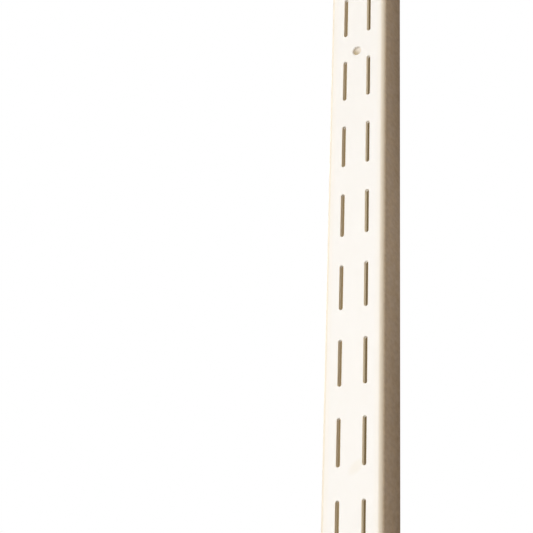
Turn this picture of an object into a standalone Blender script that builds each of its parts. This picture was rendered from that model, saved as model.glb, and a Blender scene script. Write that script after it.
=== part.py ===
"""Slotted shelf upright: a steel channel that is screwed to a wall and holds up shelves.

The real thing is one strip of sheet steel, so it is one solid here. The strip is punched with two
columns of upright slots that hooks drop into, drilled and countersunk on its centre line for wall
screws, and folded into an open-backed channel whose two legs reach back to the wall.

Lengths are in metres. +Z runs up the upright, the front faces -Y and the wall is at +Y.
The origin is the middle of the bottom end.
"""

import math

import bmesh
import bpy

# The folded strip
WIDTH = 0.0268
DEPTH = 0.0154
SHEET = 0.0015
FOLD_INNER_RADIUS = 0.0009
EDGE_RADIUS = 0.00025

# Hook slots
ROWS = 16
PITCH = 0.032
SLOT_LENGTH = 0.0193
SLOT_WIDTH = 0.0016
COLUMN_SPACING = 0.0113
RIM_RADIUS = 0.0002

# Wall screws
SCREW_HOLE_DIAMETER = 0.004
COUNTERSINK_DIAMETER = 0.0046
SCREW_HOLE_DROP = 0.0023
END_SCREW_LAND = 1

# Fineness of the round stretches
FOLD_STEPS = 12
EDGE_STEPS = 2
SLOT_END_STEPS = 8
HOLE_STEPS = 32
SMOOTH_BELOW = math.radians(50)

# White enamel
PAINT_COLOUR = (0.90, 0.875, 0.83, 1.0)
PAINT_ROUGHNESS = 0.38

# Worked out from the sizes above
LENGTH = ROWS * PITCH
FRONT = -DEPTH / 2
BACK = DEPTH / 2
FOLD_OUTER_RADIUS = FOLD_INNER_RADIUS + SHEET
PUNCH_DEPTH = 2 * SHEET


def clear_scene():
    for thing in list(bpy.data.objects):
        bpy.data.objects.remove(thing, do_unlink=True)


def arc(centre, radius, start, turn, steps):
    """Points along an arc about a centre, from the start angle through the turn, both in radians."""
    angles = [start + turn * step / steps for step in range(steps + 1)]
    return [(centre[0] + radius * math.cos(a), centre[1] + radius * math.sin(a)) for a in angles]


def channel_section():
    """The channel's outline seen from above: round the outside, then back round the inside."""
    side = WIDTH / 2
    left = (-side + FOLD_OUTER_RADIUS, FRONT + FOLD_OUTER_RADIUS)
    right = (side - FOLD_OUTER_RADIUS, FRONT + FOLD_OUTER_RADIUS)
    quarter = math.pi / 2
    outside = [
        (-side, BACK),
        *arc(left, FOLD_OUTER_RADIUS, 2 * quarter, quarter, FOLD_STEPS),
        *arc(right, FOLD_OUTER_RADIUS, 3 * quarter, quarter, FOLD_STEPS),
        (side, BACK),
    ]
    inside = [
        (side - SHEET, BACK),
        *arc(right, FOLD_INNER_RADIUS, 0, -quarter, FOLD_STEPS),
        *arc(left, FOLD_INNER_RADIUS, -quarter, -quarter, FOLD_STEPS),
        (-side + SHEET, BACK),
    ]
    return outside + inside


def soften_edges(form):
    """Rounds the cut edges: the backs of the legs and both ends of the strip."""
    cut = [edge for edge in form.edges if edge.calc_face_angle() > math.radians(60)]
    bmesh.ops.bevel(
        form, geom=cut, offset=EDGE_RADIUS, segments=EDGE_STEPS, profile=0.5, affect="EDGES"
    )


def folded_channel():
    """The channel before it is punched, standing on its bottom end."""
    form = bmesh.new()
    end = form.faces.new([form.verts.new((x, y, 0)) for x, y in channel_section()])
    grown = bmesh.ops.extrude_face_region(form, geom=[end])["geom"]
    top = [item for item in grown if isinstance(item, bmesh.types.BMVert)]
    bmesh.ops.translate(form, verts=top, vec=(0, 0, LENGTH))
    bmesh.ops.recalc_face_normals(form, faces=form.faces)
    soften_edges(form)
    return form


def slot_outline(growth):
    """A slot seen from the front, round-ended and standing upright, grown by so much all round."""
    reach = (SLOT_LENGTH - SLOT_WIDTH) / 2
    radius = SLOT_WIDTH / 2 + growth
    upper = arc((0, reach), radius, 0, math.pi, SLOT_END_STEPS)
    lower = arc((0, -reach), radius, math.pi, math.pi, SLOT_END_STEPS)
    return upper + lower


def hole_outline(growth):
    """A screw hole seen from the front, grown by so much all round."""
    radius = SCREW_HOLE_DIAMETER / 2 + growth
    return arc((0, 0), radius, 0, 2 * math.pi, HOLE_STEPS)[:-1]


def slot_profile():
    """How a slot's punch narrows: pairs of growth and depth behind the front face.

    The rim rolls over by two facets of a quarter round. The first is carried on in front of the
    face, so that the punch stands clear of it.
    """
    half_way = RIM_RADIUS * (1 - math.sin(math.pi / 4))
    spread = RIM_RADIUS - half_way
    return [
        (RIM_RADIUS + spread, -half_way),
        (half_way, half_way),
        (0, RIM_RADIUS),
        (0, PUNCH_DEPTH),
    ]


def hole_profile():
    """How a screw hole's cutter narrows: a 90 degree countersink, then the plain hole."""
    sink = (COUNTERSINK_DIAMETER - SCREW_HOLE_DIAMETER) / 2
    return [(2 * sink, -sink), (0, sink), (0, PUNCH_DEPTH)]


def add_punch(form, outline, profile, x, z):
    """Adds one closed cutter, lofted through the outline at each pair of the profile."""
    rings = []
    for growth, depth in profile:
        ring = [form.verts.new((x + u, FRONT + depth, z + v)) for u, v in outline(growth)]
        rings.append(ring)
    for near, far in zip(rings, rings[1:]):
        for i in range(len(near)):
            form.faces.new((near[i - 1], near[i], far[i], far[i - 1]))
    form.faces.new(rings[0])
    form.faces.new(list(reversed(rings[-1])))


def land_height(land):
    """Height of the middle of a land, the plain stretch between two rows, counted from the top."""
    return LENGTH - land * PITCH


def punches():
    """Every slot and screw hole as one set of separate cutters."""
    form = bmesh.new()
    for row in range(ROWS):
        middle = land_height(row) - PITCH / 2
        for side in (-1, 1):
            add_punch(form, slot_outline, slot_profile(), side * COLUMN_SPACING / 2, middle)
    # Each screw hole sits a little below the middle of its land
    for land in (END_SCREW_LAND, ROWS // 2, ROWS - END_SCREW_LAND):
        add_punch(form, hole_outline, hole_profile(), 0, land_height(land) - SCREW_HOLE_DROP)
    bmesh.ops.recalc_face_normals(form, faces=form.faces)
    return form


def add_object(name, form):
    mesh = bpy.data.meshes.new(name)
    form.to_mesh(mesh)
    form.free()
    thing = bpy.data.objects.new(name, mesh)
    bpy.context.scene.collection.objects.link(thing)
    return thing


def white_enamel():
    material = bpy.data.materials.new("white_enamel")
    material.use_nodes = True
    shader = material.node_tree.nodes["Principled BSDF"]
    shader.inputs["Base Color"].default_value = PAINT_COLOUR
    shader.inputs["Roughness"].default_value = PAINT_ROUGHNESS
    shader.inputs["Metallic"].default_value = 0.0
    shader.inputs["IOR"].default_value = 1.5
    return material


def punch_out(thing, cutter):
    """Cuts the punches from the channel and keeps the result as the channel's own mesh."""
    cut = thing.modifiers.new("punch", "BOOLEAN")
    cut.operation = "DIFFERENCE"
    cut.solver = "EXACT"
    cut.object = cutter
    graph = bpy.context.evaluated_depsgraph_get()
    plain = thing.data
    thing.data = bpy.data.meshes.new_from_object(thing.evaluated_get(graph))
    thing.data.name = thing.name
    thing.modifiers.remove(cut)
    bpy.data.meshes.remove(plain)
    bpy.data.objects.remove(cutter, do_unlink=True)


def shade(thing):
    """Smooth over the folds and soft edges, while the flats stay flat."""
    thing.data.shade_smooth()
    thing.data.set_sharp_from_angle(angle=SMOOTH_BELOW)
    flats = thing.modifiers.new("flats stay flat", "WEIGHTED_NORMAL")
    flats.mode = "FACE_AREA"
    flats.keep_sharp = True


def build():
    clear_scene()
    upright = add_object("upright", folded_channel())
    punch_out(upright, add_object("punches", punches()))
    shade(upright)
    upright.data.materials.clear()
    upright.data.materials.append(white_enamel())


build()
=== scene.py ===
"""Looks of the slotted shelf upright: its enamel, and the stage, light and camera around it."""

from collections import namedtuple
import math

import bpy
from mathutils import Matrix, Vector


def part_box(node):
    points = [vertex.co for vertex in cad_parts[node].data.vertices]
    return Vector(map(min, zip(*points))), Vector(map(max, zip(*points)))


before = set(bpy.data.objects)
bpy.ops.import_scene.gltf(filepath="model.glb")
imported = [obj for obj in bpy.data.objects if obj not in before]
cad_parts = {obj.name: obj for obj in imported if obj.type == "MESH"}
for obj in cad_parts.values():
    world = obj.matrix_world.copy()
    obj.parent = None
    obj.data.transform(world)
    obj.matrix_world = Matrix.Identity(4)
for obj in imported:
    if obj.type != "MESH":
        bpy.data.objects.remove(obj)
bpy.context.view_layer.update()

LOW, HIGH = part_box("upright")
MM = 0.001

# Where the outside of the upright lies, in millimetres
SIDE = HIGH.x / MM
FRONT = LOW.y / MM
BACK = HIGH.y / MM

# Sizes of the upright that the looks follow, as its source has them, in millimetres
PITCH = 32.0
SLOT_LENGTH = 19.3
SLOT_WIDTH = 1.6
COLUMN_SPACING = 11.3
SHEET = 1.5
SCREW_LANDS = (1, 8, 15)
SCREW_HOLE_DIAMETER = 4.0
COUNTERSINK_DIAMETER = 4.6
SCREW_HOLE_DROP = 2.3

# The coat on the outside, from where it is whitest to its darker random tone, then the painted warm shade on
# its folds and where that is deepest
WHITE = (0.932, 0.919, 0.892, 1.0)
SHADE = (0.918, 0.895, 0.848, 1.0)
WARM_SHADE = (0.925, 0.855, 0.72, 1.0)
DEEPEST_WARM_SHADE = (0.876, 0.782, 0.643, 1.0)

# The coat inside the channel, and in the slots, where its darker tone is partly a thin coat and partly
# painted shade
PATCHY = (0.80, 0.765, 0.70, 1.0)
PUNCHED_AND_SHADED = (0.79, 0.72, 0.57, 1.0)

# What lies on the coat: dust with painted shade, a faint darker mark, specks and yellowed patches
DUST_AND_SHADE = (0.545, 0.503, 0.445, 1.0)
FAINT_MARK_COLOUR = (0.88, 0.83, 0.73, 1.0)
SPECK_TINT = (0.88, 0.875, 0.865, 1.0)
YELLOWED_TINT = (1.0, 0.98, 0.93, 1.0)

# How fine each unevenness is, in waves to the millimetre
BROAD_WAVES = 0.018
FINE_WAVES = 0.35
SPECK_WAVES = 0.62
YELLOWED_WAVES = 0.27
PATCHY_WAVES = 0.16
PEEL_WAVES = 0.75
SWELL_WAVES = 0.09
GLOSS_WAVES = 0.22

# Between which values of the noise a pattern goes from none to full
SHADE_RISE = (0.35, 0.75)
MOTTLE_RISE = (0.35, 0.65)
PATCHY_RISE = (0.3, 0.7)

# How strongly each effect shows. A pair is its least and its most.
BROAD_SHADE_AMOUNT = 0.35
FINE_SHADE_AMOUNT = 0.15
# Painted warm shade beside the folds
WARM_SHADE_BESIDE_FOLD_AMOUNT = 0.28
# Dust with painted shade on the legs, less along one stretch as painted light
FINE_DUST_AND_SHADE_AMOUNT = (0.7, 1.0)
STRETCH_DUST_AND_SHADE_AMOUNT = (0.57, 0.97)
PAINTED_SHADE_FILM_AMOUNT = 0.2
# A faint darker mark on the front
FAINT_MARK_AMOUNT = 0.40
PATCHY_AMOUNT = 0.6

# Where an effect starts and where it is full, in millimetres behind the front face
ON_FRONT = (0.3, 0.1)
PAST_RIM = (0.02, 0.25)
BEHIND_SHEET = (0.6, 1.4)
BEHIND_FOLD = (1.5, 3.0)

# The same, in millimetres in from the sides
BESIDE_FOLD = (4.6, 1.8)
BETWEEN_LEGS = (0.3, 1.3)

# The same, in millimetres from the middle, from a countersink's edge and from a slot's edge
ON_LEFT = (1.0, -1.0)
PAST_COUNTERSINK = (0.9, 1.3)
IN_SLOT = (0.12, 0.0)

# The same, for how far a face is turned round a fold, to the right, to the left or up from facing down
ROUND_FOLD = (0.02, 0.42)
TO_RIGHT = (0.7, 0.98)
TO_LEFT = (-0.1, -0.4)
NOT_DOWN = (-0.6, -0.2)

# The specks are longer from front to back than they are high
SPECK_STRETCH = (1.0, 0.6, 1.0)

# How far forward of the legs' backs the dust and painted shade reach, in millimetres
DUST_AND_SHADE_REACH = 11.5

# The stretch of the right leg with painted light, where there is less dust and painted shade: its middle up,
# and how far it reaches from there
LIT_STRETCH_HEIGHT = 385.0
LIT_STRETCH_REACH = 75.0

# A faint darker mark on the front: its middle across and up, how far it reaches to each side, how much it
# rises over that, and how far it reaches above and below
FAINT_MARK_PLACE = (2.3, 294.0)
FAINT_MARK_REACH = 4.4
FAINT_MARK_RISE = 2.2
FAINT_MARK_HALF_WIDTH = 3.2

# Roughness of the outside, from least to most, and of the inside
OUTER_ROUGHNESS = (0.42, 0.54)
INNER_ROUGHNESS = 0.55

# Height of the orange peel and of the slow swell under it, in millimetres
PEEL_HEIGHT = 0.010
SWELL_HEIGHT = 0.05

# Painted shade that a camera in front sees through the slots, and painted shade and light through the screw
# holes, shown as glowing colour
SHADE_BEHIND_LEFT_SLOTS = (0.275, 0.195, 0.105, 1.0)
SHADE_BEHIND_RIGHT_SLOTS = (0.165, 0.115, 0.058, 1.0)
SHADE_BEHIND_HOLES = (0.54, 0.43, 0.27, 1.0)
LIGHT_BEHIND_HOLES = (0.86, 0.77, 0.66, 1.0)

# The sheets that show it: how far a strip lies behind the steel and reaches past a slot's sides, how
# far a disc does both, in millimetres, and over how much of a hole its painted shade and light blend
STRIP_GAP = 0.4
STRIP_MARGIN = 0.7
DISC_OVERLAP = 0.05
DISC_CORNERS = 32
BLEND_SHARE = 0.9

# The floor, in metres: how far it reaches to each side, between which distances it fades into white,
# and where the light that it gives back turns dim on the right
FLOOR_REACH = 6.0
FLOOR_FADE = (0.25, 1.6)
FLOOR_DIMS = (-0.02, 0.08)

# How white the floor is at the start and at the end of its fade, and its colours
FLOOR_WHITENESS = (0.5, 1.0)
PALE_FLOOR = (0.86, 0.86, 0.85, 1.0)
DIM_FLOOR = (0.26, 0.20, 0.14, 1.0)

# The light all round, and how far to the right its direction is where it turns dim
PURE_WHITE = (1.0, 1.0, 1.0, 1.0)
SOFT_LIGHT = (0.60, 0.605, 0.61, 1.0)
DIM_LIGHT = (0.387, 0.292, 0.209, 1.0)
LIGHT_DIMS = (-0.05, 0.25)

# The lamps, in metres and watts, and how far up the upright they are aimed, as a share of its height
AIM_SHARE = 0.6
LAMPS = (
    {"name": "key", "place": (-0.30, -1.75, 0.62), "size": 0.5, "power": 16.7, "colour": (0.97, 0.99, 1.0)},
    {"name": "rear", "place": (-1.3, 1.5, 1.2), "size": 0.9, "power": 22.0, "colour": (1.0, 1.0, 1.0)},
)

# The photograph is square, and this many pixels wide
PHOTO_PIXELS = 533

# Camera, found from the ends of the slots in the photograph
CAMERA_PLACE = (0.2137, -0.4090, 0.1932)
CAMERA_TURN = math.radians(32.49)
CAMERA_TILT = math.radians(21.80)
CAMERA_ROLL = math.radians(2.49)
CAMERA_FOCUS_PIXELS = 1206.9
SENSOR = 36.0

# A point of the upright: its place in millimetres, that place's three numbers, and which way it faces
Spot = namedtuple("Spot", "place x y z facing_x facing_y facing_z")


class Graph:
    """Short words for making the nodes of a material or a world."""

    def __init__(self, owner):
        owner.use_nodes = True
        self.tree = owner.node_tree
        self.tree.nodes.clear()

    def node(self, kind, settings=None, **inputs):
        made = self.tree.nodes.new(kind)
        for name, value in (settings or {}).items():
            setattr(made, name, value)
        for name, value in inputs.items():
            self.put(made.inputs[name.replace("_", " ")], value)
        return made

    def put(self, socket, value):
        if isinstance(value, bpy.types.NodeSocket):
            self.tree.links.new(value, socket)
        else:
            socket.default_value = value

    def put_all(self, sockets, values):
        for socket, value in zip(sockets, values):
            self.put(socket, value)

    def math(self, operation, *values):
        made = self.node("ShaderNodeMath", {"operation": operation})
        self.put_all(made.inputs, values)
        return made.outputs[0]

    def add(self, first, second):
        return self.math("ADD", first, second)

    def less(self, first, second):
        return self.math("SUBTRACT", first, second)

    def times(self, first, *others):
        for other in others:
            first = self.math("MULTIPLY", first, other)
        return first

    def larger(self, first, second):
        return self.math("MAXIMUM", first, second)

    def without_sign(self, value):
        return self.math("ABSOLUTE", value)

    def spread(self, value, low, high):
        """Takes a value between 0 and 1 to one between low and high."""
        return self.math("MULTIPLY_ADD", value, high - low, low)

    def stretch(self, vector, factors):
        made = self.node("ShaderNodeVectorMath", {"operation": "MULTIPLY"})
        self.put_all(made.inputs, (vector, factors))
        return made.outputs[0]

    def split(self, vector):
        return tuple(self.node("ShaderNodeSeparateXYZ", Vector=vector).outputs)

    def ramp(self, value, low, high, smooth=True):
        """0 below low and 1 above high, or the other way round when low is above high."""
        shape = "SMOOTHSTEP" if smooth else "LINEAR"
        made = self.node("ShaderNodeMapRange", {"clamp": True, "interpolation_type": shape}, Value=value)
        self.put(made.inputs["From Min"], min(low, high))
        self.put(made.inputs["From Max"], max(low, high))
        self.put(made.inputs["To Min"], 1.0 if low > high else 0.0)
        self.put(made.inputs["To Max"], 0.0 if low > high else 1.0)
        return made.outputs["Result"]

    def mix(self, amount, first, second, kind="RGBA", blend="MIX"):
        made = self.node("ShaderNodeMix", {"data_type": kind, "blend_type": blend})
        shown = [socket for socket in made.inputs if socket.enabled]
        self.put_all(shown, (amount, first, second))
        return next(socket for socket in made.outputs if socket.enabled)

    def mix_shaders(self, amount, first, second):
        made = self.node("ShaderNodeMixShader")
        self.put_all(made.inputs, (amount, first.outputs[0], second.outputs[0]))
        return made

    def noise(self, place, waves, detail=2.0, roughness=0.5):
        made = self.node("ShaderNodeTexNoise", Vector=place, Scale=waves, Detail=detail, Roughness=roughness)
        return made.outputs["Fac"]

    def place_in_mm(self):
        """The point's place on its object, in millimetres."""
        return self.stretch(self.node("ShaderNodeTexCoord").outputs["Object"], (1 / MM, 1 / MM, 1 / MM))


def new_material(name):
    material = bpy.data.materials.new(name)
    return material, Graph(material)


def find_spot(graph):
    place = graph.place_in_mm()
    facing = graph.node("ShaderNodeTexCoord").outputs["Normal"]
    return Spot(place, *graph.split(place), *graph.split(facing))


def behind_front(graph, spot, reach):
    return graph.ramp(spot.y, FRONT + reach[0], FRONT + reach[1])


def in_from_sides(graph, spot, reach):
    return graph.ramp(graph.without_sign(spot.x), SIDE - reach[0], SIDE - reach[1])


def fine_shade(graph, spot):
    """The finer unevenness, which the coat and the dust share."""
    return graph.ramp(graph.noise(spot.place, FINE_WAVES, detail=3.0), *SHADE_RISE)


def uneven_white(graph, spot, fine):
    """The plain coat, which varies a little over a hand's breadth and more finely from place to place."""
    broad = graph.ramp(graph.noise(spot.place, BROAD_WAVES), *SHADE_RISE)
    drift = graph.add(graph.times(broad, BROAD_SHADE_AMOUNT), graph.times(fine, FINE_SHADE_AMOUNT))
    return graph.mix(drift, WHITE, SHADE)


def painted_warm_shade_on_folds(graph, spot, colour):
    """Painted warm shade where the steel turns a corner, and faintly so beside the folds.

    It is deepest where it faces left, above all on the left fold. The countersinks stay as they are.
    """
    turning = graph.without_sign(graph.times(spot.facing_x, spot.facing_y))
    past_countersink = [COUNTERSINK_DIAMETER / 2 + reach for reach in PAST_COUNTERSINK]
    off_centre = graph.ramp(graph.without_sign(spot.x), *past_countersink)
    turned = graph.times(graph.ramp(turning, *ROUND_FOLD), off_centre)
    beside_fold = graph.times(in_from_sides(graph, spot, BESIDE_FOLD), behind_front(graph, spot, ON_FRONT))
    painted_warmth = graph.larger(turned, graph.times(beside_fold, WARM_SHADE_BESIDE_FOLD_AMOUNT))
    colour = graph.mix(painted_warmth, colour, WARM_SHADE)
    return graph.mix(graph.times(turned, graph.ramp(spot.facing_x, *TO_LEFT)), colour, DEEPEST_WARM_SHADE)


def legs_dust_and_painted_shade(graph, spot, fine, colour):
    """Dust and painted shade on the legs, most towards their backs, and least along one stretch on the
    right, which is painted light.
    """
    from_lit_stretch = graph.without_sign(graph.less(spot.z, LIT_STRETCH_HEIGHT))
    on_left = graph.ramp(spot.x, *ON_LEFT)
    outside_lit_stretch = graph.larger(graph.ramp(from_lit_stretch, 0.0, LIT_STRETCH_REACH), on_left)
    to_back = graph.ramp(spot.y, BACK - DUST_AND_SHADE_REACH, BACK, smooth=False)
    uneven = graph.times(graph.spread(fine, *FINE_DUST_AND_SHADE_AMOUNT), graph.spread(outside_lit_stretch, *STRETCH_DUST_AND_SHADE_AMOUNT))
    painted_shade_film = graph.times(outside_lit_stretch, behind_front(graph, spot, BEHIND_FOLD), PAINTED_SHADE_FILM_AMOUNT)
    return graph.mix(graph.add(graph.times(to_back, uneven), painted_shade_film), colour, DUST_AND_SHADE)


def mottled_right(graph, spot, colour):
    """Fine specks and yellowed patches, on what faces right."""
    facing_right = graph.ramp(spot.facing_x, *TO_RIGHT)
    drawn_out = graph.stretch(spot.place, SPECK_STRETCH)
    specks = graph.ramp(graph.noise(drawn_out, SPECK_WAVES), *MOTTLE_RISE, smooth=False)
    yellowed = graph.ramp(graph.noise(spot.place, YELLOWED_WAVES, detail=1.0), *MOTTLE_RISE, smooth=False)
    for pattern, tint in ((specks, SPECK_TINT), (yellowed, YELLOWED_TINT)):
        colour = graph.mix(graph.times(facing_right, pattern), colour, tint, blend="MULTIPLY")
    return colour


def faint_mark_on_front(graph, spot, colour):
    """A faint darker mark that runs from the foot of one slot towards the middle."""
    right = graph.less(spot.x, FAINT_MARK_PLACE[0])
    up = graph.less(spot.z, FAINT_MARK_PLACE[1])
    above_line = graph.less(up, graph.times(right, FAINT_MARK_RISE / FAINT_MARK_REACH))
    across = graph.math("DIVIDE", above_line, FAINT_MARK_HALF_WIDTH)
    along = graph.math("DIVIDE", right, FAINT_MARK_REACH)
    squares = graph.add(graph.times(across, across), graph.times(along, along))
    faint_mark = graph.times(graph.ramp(squares, 1.0, 0.0), behind_front(graph, spot, ON_FRONT), FAINT_MARK_AMOUNT)
    return graph.mix(faint_mark, colour, FAINT_MARK_COLOUR)


def in_channel(graph, spot):
    """1 inside the channel, and 0 on its outside."""
    return graph.times(behind_front(graph, spot, BEHIND_SHEET), in_from_sides(graph, spot, BETWEEN_LEGS))


def patchy_inside(graph, spot, inside, colour):
    """Less powder reaches the inside of the channel, and the coat is patchy there."""
    patches = graph.ramp(graph.noise(spot.place, PATCHY_WAVES, detail=4.0), *PATCHY_RISE)
    return graph.mix(graph.times(inside, patches, PATCHY_AMOUNT), colour, PATCHY)


def slot_distance(graph, spot):
    """How far a point of the front lies from the nearest slot's edge. Inside the slot it is below 0."""
    across = graph.without_sign(graph.less(graph.without_sign(spot.x), COLUMN_SPACING / 2))
    up = graph.less(graph.math("FLOORED_MODULO", spot.z, PITCH), PITCH / 2)
    straight_half = (SLOT_LENGTH - SLOT_WIDTH) / 2
    beyond = graph.larger(graph.less(graph.without_sign(up), straight_half), 0.0)
    squares = graph.add(graph.times(across, across), graph.times(beyond, beyond))
    return graph.less(graph.math("SQRT", squares), SLOT_WIDTH / 2)


def slot_walls_coat_and_painted_shade(graph, spot, colour):
    """The punched sides of the slots are darker, partly from a thin coat and partly as painted shade, but
    for their upper ends, which face down and stay pale as painted light.
    """
    in_slot = graph.ramp(slot_distance(graph, spot), *IN_SLOT)
    # Upper ends that face down keep the pale coat, as painted light from below
    not_down = graph.ramp(spot.facing_z, *NOT_DOWN)
    past_rim = behind_front(graph, spot, PAST_RIM)
    return graph.mix(graph.times(in_slot, past_rim, not_down), colour, PUNCHED_AND_SHADED)


def relief(graph, spot):
    """Fine orange peel on a slow swell."""
    peel = graph.noise(spot.place, PEEL_WAVES, roughness=0.55)
    swell = graph.noise(spot.place, SWELL_WAVES, detail=1.0)
    height = graph.add(graph.times(peel, PEEL_HEIGHT), graph.times(swell, SWELL_HEIGHT))
    return graph.node("ShaderNodeBump", Strength=1.0, Distance=MM, Height=height).outputs[0]


def satin(graph, spot, inside):
    """Satin on the outside, a little uneven, and duller inside the channel."""
    uneven = graph.spread(graph.noise(spot.place, GLOSS_WAVES, detail=3.0), *OUTER_ROUGHNESS)
    return graph.mix(inside, uneven, INNER_ROUGHNESS, kind="FLOAT")


def enamel():
    """Warm white stoved enamel on steel, with painted shade and light on its folds, legs and slots."""
    material, graph = new_material("white_enamel_with_painted_shade")
    spot = find_spot(graph)
    fine = fine_shade(graph, spot)
    inside = in_channel(graph, spot)
    colour = uneven_white(graph, spot, fine)
    # Painted warm shade on the folds
    colour = painted_warm_shade_on_folds(graph, spot, colour)
    # Dust and painted shade on the legs, with painted light along one stretch
    colour = legs_dust_and_painted_shade(graph, spot, fine, colour)
    colour = mottled_right(graph, spot, colour)
    # A faint darker mark on the front
    colour = faint_mark_on_front(graph, spot, colour)
    colour = patchy_inside(graph, spot, inside, colour)
    # Slot walls darker, partly as painted shade, with painted light on their upper ends
    colour = slot_walls_coat_and_painted_shade(graph, spot, colour)
    shader = graph.node("ShaderNodeBsdfPrincipled", IOR=1.5, Metallic=0.0, Base_Color=colour)
    graph.put(shader.inputs["Roughness"], satin(graph, spot, inside))
    graph.put(shader.inputs["Normal"], relief(graph, spot))
    graph.node("ShaderNodeOutputMaterial", Surface=shader.outputs[0])
    return material


def dress_upright():
    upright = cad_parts["upright"]
    upright.data.materials.clear()
    upright.data.materials.append(enamel())


def add_sheets(name, outlines, material):
    """Flat sheets as one piece of the stage, each facing where its corners run anticlockwise."""
    corners = []
    faces = []
    for outline in outlines:
        faces.append(range(len(corners), len(corners) + len(outline)))
        corners.extend(outline)
    mesh = bpy.data.meshes.new(name)
    mesh.from_pydata(corners, [], faces)
    mesh.materials.append(material)
    sheets = bpy.data.objects.new(name, mesh)
    bpy.context.scene.collection.objects.link(sheets)
    return sheets


def show_from_front(graph, colour):
    """Ends a material that shows its colour from its front and is clear from its back."""
    seen = graph.node("ShaderNodeEmission", Color=colour, Strength=1.0)
    clear = graph.node("ShaderNodeBsdfTransparent")
    back = graph.node("ShaderNodeNewGeometry").outputs["Backfacing"]
    graph.node("ShaderNodeOutputMaterial", Surface=graph.mix_shaders(back, seen, clear).outputs[0])


def painted_shade_backing(name, colour):
    material, graph = new_material(name)
    show_from_front(graph, colour)
    return material


def painted_light_and_shade_backing(name):
    """Goes from painted shade at the lower left of each screw hole to painted light at the upper right."""
    material, graph = new_material(name)
    x, _, z = graph.split(graph.place_in_mm())
    in_land = graph.math("FLOORED_MODULO", graph.add(z, SCREW_HOLE_DROP + PITCH / 2), PITCH)
    up = graph.less(in_land, PITCH / 2)
    reach = BLEND_SHARE * SCREW_HOLE_DIAMETER / 2
    upper_right = graph.ramp(graph.add(x, up), -reach, reach)
    show_from_front(graph, graph.mix(upper_right, SHADE_BEHIND_HOLES, LIGHT_BEHIND_HOLES))
    return material


def strip_behind(x):
    """Corners of a strip close behind a column of slots, in metres."""
    half_width = SLOT_WIDTH / 2 + STRIP_MARGIN
    y = LOW.y + (SHEET + STRIP_GAP) * MM
    left, right = (x - half_width) * MM, (x + half_width) * MM
    low, high = LOW.z + MM, HIGH.z - MM
    return [(left, y, low), (right, y, low), (right, y, high), (left, y, high)]


def disc_behind(land):
    """Corners of a disc that closes the back of a screw hole, in metres."""
    y = LOW.y + (SHEET + DISC_OVERLAP) * MM
    z = HIGH.z - (land * PITCH + SCREW_HOLE_DROP) * MM
    radius = (SCREW_HOLE_DIAMETER / 2 + DISC_OVERLAP) * MM
    turns = [2 * math.pi * corner / DISC_CORNERS for corner in range(DISC_CORNERS)]
    return [(radius * math.cos(turn), y, z + radius * math.sin(turn)) for turn in turns]


def add_backing(name, outlines, material, lights_its_hole=False):
    """Glowing sheets of painted shade and light behind the front, for the dim channel of an upright that is
    fixed in its place.

    Only a camera in front sees them, so from behind the channel is open.
    """
    backing = add_sheets(name, outlines, material)
    backing.visible_diffuse = lights_its_hole
    backing.visible_glossy = False
    backing.visible_transmission = False
    backing.visible_volume_scatter = False
    backing.visible_shadow = False


def add_backings():
    slots = (("painted_shade_behind_left_slots", -1, SHADE_BEHIND_LEFT_SLOTS), ("painted_shade_behind_right_slots", 1, SHADE_BEHIND_RIGHT_SLOTS))
    for name, side, colour in slots:
        add_backing(name, [strip_behind(side * COLUMN_SPACING / 2)], painted_shade_backing(name, colour))
    name = "painted_light_and_shade_behind_screw_holes"
    discs = [disc_behind(land) for land in SCREW_LANDS]
    # The discs glow and light the walls of their holes, as painted light
    add_backing(name, discs, painted_light_and_shade_backing(name), lights_its_hole=True)


def add_floor():
    """A pale floor that keeps the shadow near the part and fades into the white round it.

    The light it gives back is pale on the left, and dim and warm on the right.
    """
    material, graph = new_material("pale_floor")
    to_camera = graph.node("ShaderNodeLightPath").outputs["Is Camera Ray"]
    place = graph.node("ShaderNodeTexCoord").outputs["Object"]
    away = graph.node("ShaderNodeVectorMath", {"operation": "LENGTH"})
    graph.put(away.inputs[0], place)
    faded = graph.spread(graph.ramp(away.outputs["Value"], *FLOOR_FADE), *FLOOR_WHITENESS)
    on_right = graph.ramp(graph.split(place)[0], *FLOOR_DIMS)
    given_back = graph.mix(on_right, PALE_FLOOR, DIM_FLOOR)
    matt = graph.node("ShaderNodeBsdfDiffuse", Color=graph.mix(to_camera, given_back, PALE_FLOOR))
    white = graph.node("ShaderNodeEmission", Color=PURE_WHITE, Strength=1.0)
    surface = graph.mix_shaders(graph.times(faded, to_camera), matt, white)
    graph.node("ShaderNodeOutputMaterial", Surface=surface.outputs[0])
    corners = [(-1, -1), (1, -1), (1, 1), (-1, 1)]
    add_sheets("floor", [[(x * FLOOR_REACH, y * FLOOR_REACH, 0) for x, y in corners]], material)


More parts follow.
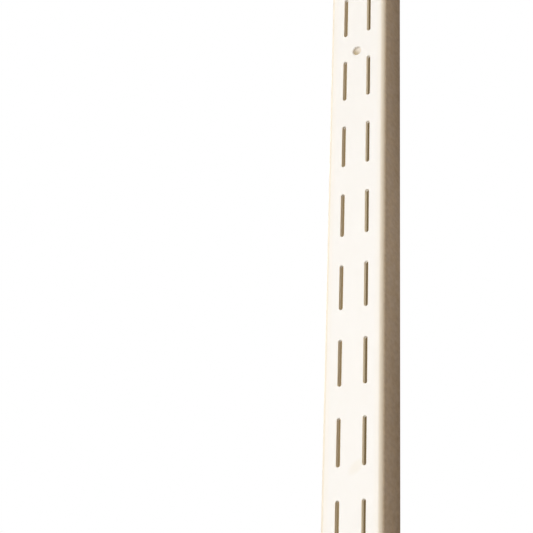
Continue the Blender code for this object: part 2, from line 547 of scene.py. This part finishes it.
def light_world():
    """Soft light from all round, dim and warm on the right. What the camera sees of it is white."""
    world = bpy.data.worlds.new("studio")
    bpy.context.scene.world = world
    graph = Graph(world)
    direction = graph.node("ShaderNodeTexCoord").outputs["Generated"]
    on_right = graph.ramp(graph.split(direction)[0], *LIGHT_DIMS)
    rays = graph.node("ShaderNodeLightPath").outputs
    mirrored = graph.times(rays["Is Glossy Ray"], graph.less(1.0, on_right))
    seen = graph.larger(rays["Is Camera Ray"], rays["Is Transmission Ray"])
    light = graph.mix(on_right, SOFT_LIGHT, DIM_LIGHT)
    light = graph.mix(graph.larger(mirrored, seen), light, PURE_WHITE)
    background = graph.node("ShaderNodeBackground", Color=light, Strength=1.0)
    graph.node("ShaderNodeOutputWorld", Surface=background.outputs[0])


def add_lamp(name, place, size, power, colour):
    """A round lamp that shines on the upright."""
    lamp = bpy.data.lights.new(name, "AREA")
    lamp.shape = "DISK"
    lamp.size = size
    lamp.energy = power
    lamp.color = colour
    thing = bpy.data.objects.new(name, lamp)
    bpy.context.scene.collection.objects.link(thing)
    towards = Vector((0.0, 0.0, HIGH.z * AIM_SHARE)) - Vector(place)
    thing.location = place
    thing.rotation_euler = towards.to_track_quat("-Z", "Y").to_euler()


def add_camera():
    data = bpy.data.cameras.new("camera")
    data.sensor_width = SENSOR
    data.lens = CAMERA_FOCUS_PIXELS / PHOTO_PIXELS * SENSOR
    data.clip_start = 0.01
    data.clip_end = 50.0
    camera = bpy.data.objects.new("camera", data)
    bpy.context.scene.collection.objects.link(camera)
    turn = Matrix.Rotation(CAMERA_TURN, 4, "Z")
    tilt = Matrix.Rotation(math.pi / 2 + CAMERA_TILT, 4, "X")
    roll = Matrix.Rotation(CAMERA_ROLL, 4, "Z")
    camera.matrix_world = Matrix.Translation(CAMERA_PLACE) @ turn @ tilt @ roll
    bpy.context.scene.camera = camera


bpy.context.scene.view_settings.view_transform = "Standard"
add_camera()
dress_upright()
# Glowing sheets of painted shade and light behind the slots and the screw holes
add_backings()
add_floor()
light_world()
for lamp in LAMPS:
    add_lamp(**lamp)
